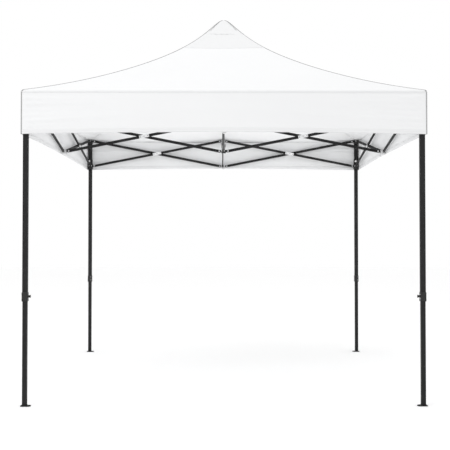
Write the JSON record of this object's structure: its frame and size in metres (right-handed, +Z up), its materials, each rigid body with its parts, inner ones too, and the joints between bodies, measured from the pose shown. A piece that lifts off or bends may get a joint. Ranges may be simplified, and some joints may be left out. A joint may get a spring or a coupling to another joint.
{
  "type": "pop up canopy",
  "caption": "Square shelter on four telescopic legs, with a folding scissor frame, sliding centre pole and a peaked cloth cover with a valance.",
  "frame": {"origin": "on the ground under the peak, at the centre of the four feet", "axes": "+Z up, -Y towards the front, +X to the right seen from the front"},
  "size_m": [2.96, 2.96, 3.217],
  "materials": {
    "grey_steel": "galvanised steel tube, dull satin",
    "black_powder_coat": "fine satin powder coat on steel tube",
    "black_plastic": "moulded nylon, fine grain",
    "grey_plastic": "light grey moulded nylon, satin",
    "white_plastic": "white moulded plastic",
    "cover_cloth": "white coated polyester plain weave"
  },
  "bodies": {
    "centre_upper_hub": {"centre_upper_hub": "black_plastic"},
    "front_centre_bar_upper": {"front_centre_bar_upper": "black_powder_coat"},
    "front_centre_bar_lower": {"front_centre_bar_lower": "black_powder_coat"},
    "front_upper_hub": {"front_upper_hub": "grey_plastic"},
    "front_lower_hub": {"front_lower_hub": "grey_plastic"},
    "front_outer_bar_left": {"front_outer_bar_left": "black_powder_coat"},
    "front_outer_bar_right": {"front_outer_bar_right": "black_powder_coat"},
    "front_inner_bar_left": {"front_inner_bar_left": "black_powder_coat"},
    "front_inner_bar_right": {"front_inner_bar_right": "black_powder_coat"},
    "centre_lower_hub": {"centre_lower_hub": "black_plastic"},
    "front_left_outer_leg": {"front_left_outer_leg": "black_powder_coat"},
    "front_left_slider": {"front_left_slider": "black_plastic"},
    "front_left_inner_leg": {"front_left_inner_leg": "black_powder_coat"},
    "front_left_pull_knob": {"front_left_pull_knob": "black_plastic"},
    "front_left_slider_button": {"front_left_slider_button": "white_plastic"},
    "front_cover": {"front_cover": "cover_cloth"},
    "right_centre_bar_upper": {"right_centre_bar_upper": "black_powder_coat"},
    "right_centre_bar_lower": {"right_centre_bar_lower": "black_powder_coat"},
    "right_upper_hub": {"right_upper_hub": "grey_plastic"},
    "right_lower_hub": {"right_lower_hub": "grey_plastic"},
    "right_outer_bar_left": {"right_outer_bar_left": "black_powder_coat"},
    "right_outer_bar_right": {"right_outer_bar_right": "black_powder_coat"},
    "right_inner_bar_left": {"right_inner_bar_left": "black_powder_coat"},
    "right_inner_bar_right": {"right_inner_bar_right": "black_powder_coat"},
    "front_right_outer_leg": {"front_right_outer_leg": "black_powder_coat"},
    "front_right_slider": {"front_right_slider": "black_plastic"},
    "front_right_inner_leg": {"front_right_inner_leg": "black_powder_coat"},
    "front_right_pull_knob": {"front_right_pull_knob": "black_plastic"},
    "front_right_slider_button": {"front_right_slider_button": "white_plastic"},
    "right_cover": {"right_cover": "cover_cloth"},
    "back_centre_bar_upper": {"back_centre_bar_upper": "black_powder_coat"},
    "back_centre_bar_lower": {"back_centre_bar_lower": "black_powder_coat"},
    "back_upper_hub": {"back_upper_hub": "grey_plastic"},
    "back_lower_hub": {"back_lower_hub": "grey_plastic"},
    "back_outer_bar_left": {"back_outer_bar_left": "black_powder_coat"},
    "back_outer_bar_right": {"back_outer_bar_right": "black_powder_coat"},
    "back_inner_bar_left": {"back_inner_bar_left": "black_powder_coat"},
    "back_inner_bar_right": {"back_inner_bar_right": "black_powder_coat"},
    "back_right_outer_leg": {"back_right_outer_leg": "black_powder_coat"},
    "back_right_slider": {"back_right_slider": "black_plastic"},
    "back_right_inner_leg": {"back_right_inner_leg": "black_powder_coat"},
    "back_right_pull_knob": {"back_right_pull_knob": "black_plastic"},
    "back_right_slider_button": {"back_right_slider_button": "white_plastic"},
    "back_cover": {"back_cover": "cover_cloth"},
    "left_centre_bar_upper": {"left_centre_bar_upper": "black_powder_coat"},
    "left_centre_bar_lower": {"left_centre_bar_lower": "black_powder_coat"},
    "left_upper_hub": {"left_upper_hub": "grey_plastic"},
    "left_lower_hub": {"left_lower_hub": "grey_plastic"},
    "left_outer_bar_left": {"left_outer_bar_left": "black_powder_coat"},
    "left_outer_bar_right": {"left_outer_bar_right": "black_powder_coat"},
    "left_inner_bar_left": {"left_inner_bar_left": "black_powder_coat"},
    "left_inner_bar_right": {"left_inner_bar_right": "black_powder_coat"},
    "back_left_outer_leg": {"back_left_outer_leg": "black_powder_coat"},
    "back_left_slider": {"back_left_slider": "black_plastic"},
    "back_left_inner_leg": {"back_left_inner_leg": "black_powder_coat"},
    "back_left_pull_knob": {"back_left_pull_knob": "black_plastic"},
    "back_left_slider_button": {"back_left_slider_button": "white_plastic"},
    "left_cover": {"left_cover": "cover_cloth"},
    "peak_pole": {"peak_pole": "grey_steel", "roof_peak": "cover_cloth"}
  },
  "joints": [
    {"name": "fold", "type": "hinge", "parent": "centre_upper_hub", "child": "front_centre_bar_upper", "pos_m": [0, -0.04, 2.29], "axis": [1, 0, 0], "range_deg": [0, 75]},
    {"name": "front_centre_cross", "type": "hinge", "parent": "front_centre_bar_upper", "child": "front_centre_bar_lower", "pos_m": [0, -0.725, 2.155], "axis": [1, 0, 0], "range_deg": [-150, 0]},
    {"name": "front_lower_hub_turn", "type": "hinge", "parent": "front_centre_bar_upper", "child": "front_lower_hub", "pos_m": [0, -1.41, 2.02], "axis": [1, 0, 0], "range_deg": [-75, 0]},
    {"name": "front_upper_hub_turn", "type": "hinge", "parent": "front_centre_bar_lower", "child": "front_upper_hub", "pos_m": [0, -1.41, 2.29], "axis": [1, 0, 0], "range_deg": [0, 75]},
    {"name": "centre_lower_hub_turn", "type": "hinge", "parent": "front_centre_bar_lower", "child": "centre_lower_hub", "pos_m": [0, -0.04, 2.02], "axis": [1, 0, 0], "range_deg": [0, 75]},
    {"name": "front_outer_bar_right_turn", "type": "hinge", "parent": "front_lower_hub", "child": "front_outer_bar_right", "pos_m": [0.038, -1.45, 2.02], "axis": [0, 1, 0], "range_deg": [-75, 0]},
    {"name": "front_inner_bar_right_turn", "type": "hinge", "parent": "front_upper_hub", "child": "front_inner_bar_right", "pos_m": [0.038, -1.45, 2.29], "axis": [0, 1, 0], "range_deg": [0, 75]},
    {"name": "front_outer_bar_left_turn", "type": "hinge", "parent": "front_lower_hub", "child": "front_outer_bar_left", "pos_m": [-0.038, -1.45, 2.02], "axis": [0, -1, 0], "range_deg": [-75, 0]},
    {"name": "front_inner_bar_left_turn", "type": "hinge", "parent": "front_upper_hub", "child": "front_inner_bar_left", "pos_m": [-0.038, -1.45, 2.29], "axis": [0, -1, 0], "range_deg": [0, 75]},
    {"name": "front_left_leg_top_turn", "type": "hinge", "parent": "front_outer_bar_left", "child": "front_left_outer_leg", "pos_m": [-1.408, -1.45, 2.29], "axis": [0, -1, 0], "range_deg": [0, 75]},
    {"name": "front_left_slider_turn", "type": "hinge", "parent": "front_inner_bar_left", "child": "front_left_slider", "pos_m": [-1.408, -1.45, 2.02], "axis": [0, -1, 0], "range_deg": [-75, 0]},
    {"name": "front_left_height", "type": "slide", "parent": "front_left_outer_leg", "child": "front_left_inner_leg", "axis": [0, 0, 1], "range_m": [0, 0.7]},
    {"name": "front_left_knob_pull", "type": "slide", "parent": "front_left_outer_leg", "child": "front_left_pull_knob", "axis": [1, 0, 0], "range_m": [0, 0.008], "stiffness_N_per_m": 500},
    {"name": "front_left_button_press", "type": "slide", "parent": "front_left_slider", "child": "front_left_slider_button", "axis": [0, -1, 0], "range_m": [0, 0.004], "stiffness_N_per_m": 400},
    {"name": "front_cover_drop", "type": "hinge", "parent": "front_upper_hub", "child": "front_cover", "pos_m": [0, -1.47, 2.301], "axis": [1, 0, 0], "range_deg": [-119, 0], "deforming": ["front_cover"]},
    {"name": "right_centre_bar_upper_turn", "type": "hinge", "parent": "centre_upper_hub", "child": "right_centre_bar_upper", "pos_m": [0.04, 0, 2.29], "axis": [0, 1, 0], "range_deg": [0, 75]},
    {"name": "right_centre_cross", "type": "hinge", "parent": "right_centre_bar_upper", "child": "right_centre_bar_lower", "pos_m": [0.725, 0, 2.155], "axis": [0, 1, 0], "range_deg": [-150, 0]},
    {"name": "right_lower_hub_turn", "type": "hinge", "parent": "right_centre_bar_upper", "child": "right_lower_hub", "pos_m": [1.41, 0, 2.02], "axis": [0, 1, 0], "range_deg": [-75, 0]},
    {"name": "right_upper_hub_turn", "type": "hinge", "parent": "right_centre_bar_lower", "child": "right_upper_hub", "pos_m": [1.41, 0, 2.29], "axis": [0, 1, 0], "range_deg": [0, 75]},
    {"name": "right_outer_bar_right_turn", "type": "hinge", "parent": "right_lower_hub", "child": "right_outer_bar_right", "pos_m": [1.45, 0.038, 2.02], "axis": [-1, 0, 0], "range_deg": [-75, 0]},
    {"name": "right_inner_bar_right_turn", "type": "hinge", "parent": "right_upper_hub", "child": "right_inner_bar_right", "pos_m": [1.45, 0.038, 2.29], "axis": [-1, 0, 0], "range_deg": [0, 75]},
    {"name": "right_outer_bar_left_turn", "type": "hinge", "parent": "right_lower_hub", "child": "right_outer_bar_left", "pos_m": [1.45, -0.038, 2.02], "axis": [1, 0, 0], "range_deg": [-75, 0]},
    {"name": "right_inner_bar_left_turn", "type": "hinge", "parent": "right_upper_hub", "child": "right_inner_bar_left", "pos_m": [1.45, -0.038, 2.29], "axis": [1, 0, 0], "range_deg": [0, 75]},
    {"name": "front_right_leg_top_turn", "type": "hinge", "parent": "right_outer_bar_left", "child": "front_right_outer_leg", "pos_m": [1.45, -1.408, 2.29], "axis": [1, 0, 0], "range_deg": [0, 75]},
    {"name": "front_right_slider_turn", "type": "hinge", "parent": "right_inner_bar_left", "child": "front_right_slider", "pos_m": [1.45, -1.408, 2.02], "axis": [1, 0, 0], "range_deg": [-75, 0]},
    {"name": "front_right_height", "type": "slide", "parent": "front_right_outer_leg", "child": "front_right_inner_leg", "axis": [0, 0, 1], "range_m": [0, 0.7]},
    {"name": "front_right_knob_pull", "type": "slide", "parent": "front_right_outer_leg", "child": "front_right_pull_knob", "axis": [-1, 0, 0], "range_m": [0, 0.008], "stiffness_N_per_m": 500},
    {"name": "front_right_button_press", "type": "slide", "parent": "front_right_slider", "child": "front_right_slider_button", "axis": [0, -1, 0], "range_m": [0, 0.004], "stiffness_N_per_m": 400},
    {"name": "right_cover_drop", "type": "hinge", "parent": "right_upper_hub", "child": "right_cover", "pos_m": [1.47, 0, 2.301], "axis": [0, 1, 0], "range_deg": [-119, 0], "deforming": ["right_cover"]},
    {"name": "back_centre_bar_upper_turn", "type": "hinge", "parent": "centre_upper_hub", "child": "back_centre_bar_upper", "pos_m": [0, 0.04, 2.29], "axis": [-1, 0, 0], "range_deg": [0, 75]},
    {"name": "back_centre_cross", "type": "hinge", "parent": "back_centre_bar_upper", "child": "back_centre_bar_lower", "pos_m": [0, 0.725, 2.155], "axis": [-1, 0, 0], "range_deg": [-150, 0]},
    {"name": "back_lower_hub_turn", "type": "hinge", "parent": "back_centre_bar_upper", "child": "back_lower_hub", "pos_m": [0, 1.41, 2.02], "axis": [-1, 0, 0], "range_deg": [-75, 0]},
    {"name": "back_upper_hub_turn", "type": "hinge", "parent": "back_centre_bar_lower", "child": "back_upper_hub", "pos_m": [0, 1.41, 2.29], "axis": [-1, 0, 0], "range_deg": [0, 75]},
    {"name": "back_outer_bar_right_turn", "type": "hinge", "parent": "back_lower_hub", "child": "back_outer_bar_right", "pos_m": [-0.038, 1.45, 2.02], "axis": [0, -1, 0], "range_deg": [-75, 0]},
    {"name": "back_inner_bar_right_turn", "type": "hinge", "parent": "back_upper_hub", "child": "back_inner_bar_right", "pos_m": [-0.038, 1.45, 2.29], "axis": [0, -1, 0], "range_deg": [0, 75]},
    {"name": "back_outer_bar_left_turn", "type": "hinge", "parent": "back_lower_hub", "child": "back_outer_bar_left", "pos_m": [0.038, 1.45, 2.02], "axis": [0, 1, 0], "range_deg": [-75, 0]},
    {"name": "back_inner_bar_left_turn", "type": "hinge", "parent": "back_upper_hub", "child": "back_inner_bar_left", "pos_m": [0.038, 1.45, 2.29], "axis": [0, 1, 0], "range_deg": [0, 75]},
    {"name": "back_right_leg_top_turn", "type": "hinge", "parent": "back_outer_bar_left", "child": "back_right_outer_leg", "pos_m": [1.408, 1.45, 2.29], "axis": [0, 1, 0], "range_deg": [0, 75]},
    {"name": "back_right_slider_turn", "type": "hinge", "parent": "back_inner_bar_left", "child": "back_right_slider", "pos_m": [1.408, 1.45, 2.02], "axis": [0, 1, 0], "range_deg": [-75, 0]},
    {"name": "back_right_height", "type": "slide", "parent": "back_right_outer_leg", "child": "back_right_inner_leg", "axis": [0, 0, 1], "range_m": [0, 0.7]},
    {"name": "back_right_knob_pull", "type": "slide", "parent": "back_right_outer_leg", "child": "back_right_pull_knob", "axis": [0, -1, 0], "range_m": [0, 0.008], "stiffness_N_per_m": 500},
    {"name": "back_right_button_press", "type": "slide", "parent": "back_right_slider", "child": "back_right_slider_button", "axis": [0, 1, 0], "range_m": [0, 0.004], "stiffness_N_per_m": 400},
    {"name": "back_cover_drop", "type": "hinge", "parent": "back_upper_hub", "child": "back_cover", "pos_m": [0, 1.47, 2.301], "axis": [-1, 0, 0], "range_deg": [-119, 0], "deforming": ["back_cover"]},
    {"name": "left_centre_bar_upper_turn", "type": "hinge", "parent": "centre_upper_hub", "child": "left_centre_bar_upper", "pos_m": [-0.04, 0, 2.29], "axis": [0, -1, 0], "range_deg": [0, 75]},
    {"name": "left_centre_cross", "type": "hinge", "parent": "left_centre_bar_upper", "child": "left_centre_bar_lower", "pos_m": [-0.725, 0, 2.155], "axis": [0, -1, 0], "range_deg": [-150, 0]},
    {"name": "left_lower_hub_turn", "type": "hinge", "parent": "left_centre_bar_upper", "child": "left_lower_hub", "pos_m": [-1.41, 0, 2.02], "axis": [0, -1, 0], "range_deg": [-75, 0]},
    {"name": "left_upper_hub_turn", "type": "hinge", "parent": "left_centre_bar_lower", "child": "left_upper_hub", "pos_m": [-1.41, 0, 2.29], "axis": [0, -1, 0], "range_deg": [0, 75]},
    {"name": "left_outer_bar_right_turn", "type": "hinge", "parent": "left_lower_hub", "child": "left_outer_bar_right", "pos_m": [-1.45, -0.038, 2.02], "axis": [1, 0, 0], "range_deg": [-75, 0]},
    {"name": "left_inner_bar_right_turn", "type": "hinge", "parent": "left_upper_hub", "child": "left_inner_bar_right", "pos_m": [-1.45, -0.038, 2.29], "axis": [1, 0, 0], "range_deg": [0, 75]},
    {"name": "left_outer_bar_left_turn", "type": "hinge", "parent": "left_lower_hub", "child": "left_outer_bar_left", "pos_m": [-1.45, 0.038, 2.02], "axis": [-1, 0, 0], "range_deg": [-75, 0]},
    {"name": "left_inner_bar_left_turn", "type": "hinge", "parent": "left_upper_hub", "child": "left_inner_bar_left", "pos_m": [-1.45, 0.038, 2.29], "axis": [-1, 0, 0], "range_deg": [0, 75]},
    {"name": "back_left_leg_top_turn", "type": "hinge", "parent": "left_outer_bar_left", "child": "back_left_outer_leg", "pos_m": [-1.45, 1.408, 2.29], "axis": [-1, 0, 0], "range_deg": [0, 75]},
    {"name": "back_left_slider_turn", "type": "hinge", "parent": "left_inner_bar_left", "child": "back_left_slider", "pos_m": [-1.45, 1.408, 2.02], "axis": [-1, 0, 0], "range_deg": [-75, 0]},
    {"name": "back_left_height", "type": "slide", "parent": "back_left_outer_leg", "child": "back_left_inner_leg", "axis": [0, 0, 1], "range_m": [0, 0.7]},
    {"name": "back_left_knob_pull", "type": "slide", "parent": "back_left_outer_leg", "child": "back_left_pull_knob", "axis": [0, -1, 0], "range_m": [0, 0.008], "stiffness_N_per_m": 500},
    {"name": "back_left_button_press", "type": "slide", "parent": "back_left_slider", "child": "back_left_slider_button", "axis": [0, 1, 0], "range_m": [0, 0.004], "stiffness_N_per_m": 400},
    {"name": "left_cover_drop", "type": "hinge", "parent": "left_upper_hub", "child": "left_cover", "pos_m": [-1.47, 0, 2.301], "axis": [0, -1, 0], "range_deg": [-119, 0], "deforming": ["left_cover"]},
    {"name": "pole_drop", "type": "slide", "parent": "centre_upper_hub", "child": "peak_pole", "axis": [0, 0, 1], "range_m": [-0.8601, 0], "deforming": ["roof_peak"]}
  ],
  "couplings": [
    {"joint": "front_centre_cross", "follows": "fold", "ratio": -2},
    {"joint": "front_lower_hub_turn", "follows": "fold", "ratio": -1},
    {"joint": "front_upper_hub_turn", "follows": "fold", "ratio": 1},
    {"joint": "centre_lower_hub_turn", "follows": "fold", "ratio": 1},
    {"joint": "front_outer_bar_right_turn", "follows": "fold", "ratio": -1},
    {"joint": "front_inner_bar_right_turn", "follows": "fold", "ratio": 1},
    {"joint": "front_outer_bar_left_turn", "follows": "fold", "ratio": -1},
    {"joint": "front_inner_bar_left_turn", "follows": "fold", "ratio": 1},
    {"joint": "front_left_leg_top_turn", "follows": "fold", "ratio": 1},
    {"joint": "front_left_slider_turn", "follows": "fold", "ratio": -1},
    {"joint": "front_cover_drop", "follows": "fold", "ratio": -1.5867},
    {"joint": "right_centre_bar_upper_turn", "follows": "fold", "ratio": 1},
    {"joint": "right_centre_cross", "follows": "fold", "ratio": -2},
    {"joint": "right_lower_hub_turn", "follows": "fold", "ratio": -1},
    {"joint": "right_upper_hub_turn", "follows": "fold", "ratio": 1},
    {"joint": "right_outer_bar_right_turn", "follows": "fold", "ratio": -1},
    {"joint": "right_inner_bar_right_turn", "follows": "fold", "ratio": 1},
    {"joint": "right_outer_bar_left_turn", "follows": "fold", "ratio": -1},
    {"joint": "right_inner_bar_left_turn", "follows": "fold", "ratio": 1},
    {"joint": "front_right_leg_top_turn", "follows": "fold", "ratio": 1},
    {"joint": "front_right_slider_turn", "follows": "fold", "ratio": -1},
    {"joint": "right_cover_drop", "follows": "fold", "ratio": -1.5867},
    {"joint": "back_centre_bar_upper_turn", "follows": "fold", "ratio": 1},
    {"joint": "back_centre_cross", "follows": "fold", "ratio": -2},
    {"joint": "back_lower_hub_turn", "follows": "fold", "ratio": -1},
    {"joint": "back_upper_hub_turn", "follows": "fold", "ratio": 1},
    {"joint": "back_outer_bar_right_turn", "follows": "fold", "ratio": -1},
    {"joint": "back_inner_bar_right_turn", "follows": "fold", "ratio": 1},
    {"joint": "back_outer_bar_left_turn", "follows": "fold", "ratio": -1},
    {"joint": "back_inner_bar_left_turn", "follows": "fold", "ratio": 1},
    {"joint": "back_right_leg_top_turn", "follows": "fold", "ratio": 1},
    {"joint": "back_right_slider_turn", "follows": "fold", "ratio": -1},
    {"joint": "back_cover_drop", "follows": "fold", "ratio": -1.5867},
    {"joint": "left_centre_bar_upper_turn", "follows": "fold", "ratio": 1},
    {"joint": "left_centre_cross", "follows": "fold", "ratio": -2},
    {"joint": "left_lower_hub_turn", "follows": "fold", "ratio": -1},
    {"joint": "left_upper_hub_turn", "follows": "fold", "ratio": 1},
    {"joint": "left_outer_bar_right_turn", "follows": "fold", "ratio": -1},
    {"joint": "left_inner_bar_right_turn", "follows": "fold", "ratio": 1},
    {"joint": "left_outer_bar_left_turn", "follows": "fold", "ratio": -1},
    {"joint": "left_inner_bar_left_turn", "follows": "fold", "ratio": 1},
    {"joint": "back_left_leg_top_turn", "follows": "fold", "ratio": 1},
    {"joint": "back_left_slider_turn", "follows": "fold", "ratio": -1},
    {"joint": "left_cover_drop", "follows": "fold", "ratio": -1.5867},
    {"joint": "pole_drop", "follows": "fold", "m_per_rad": -0.65699}
  ]
}
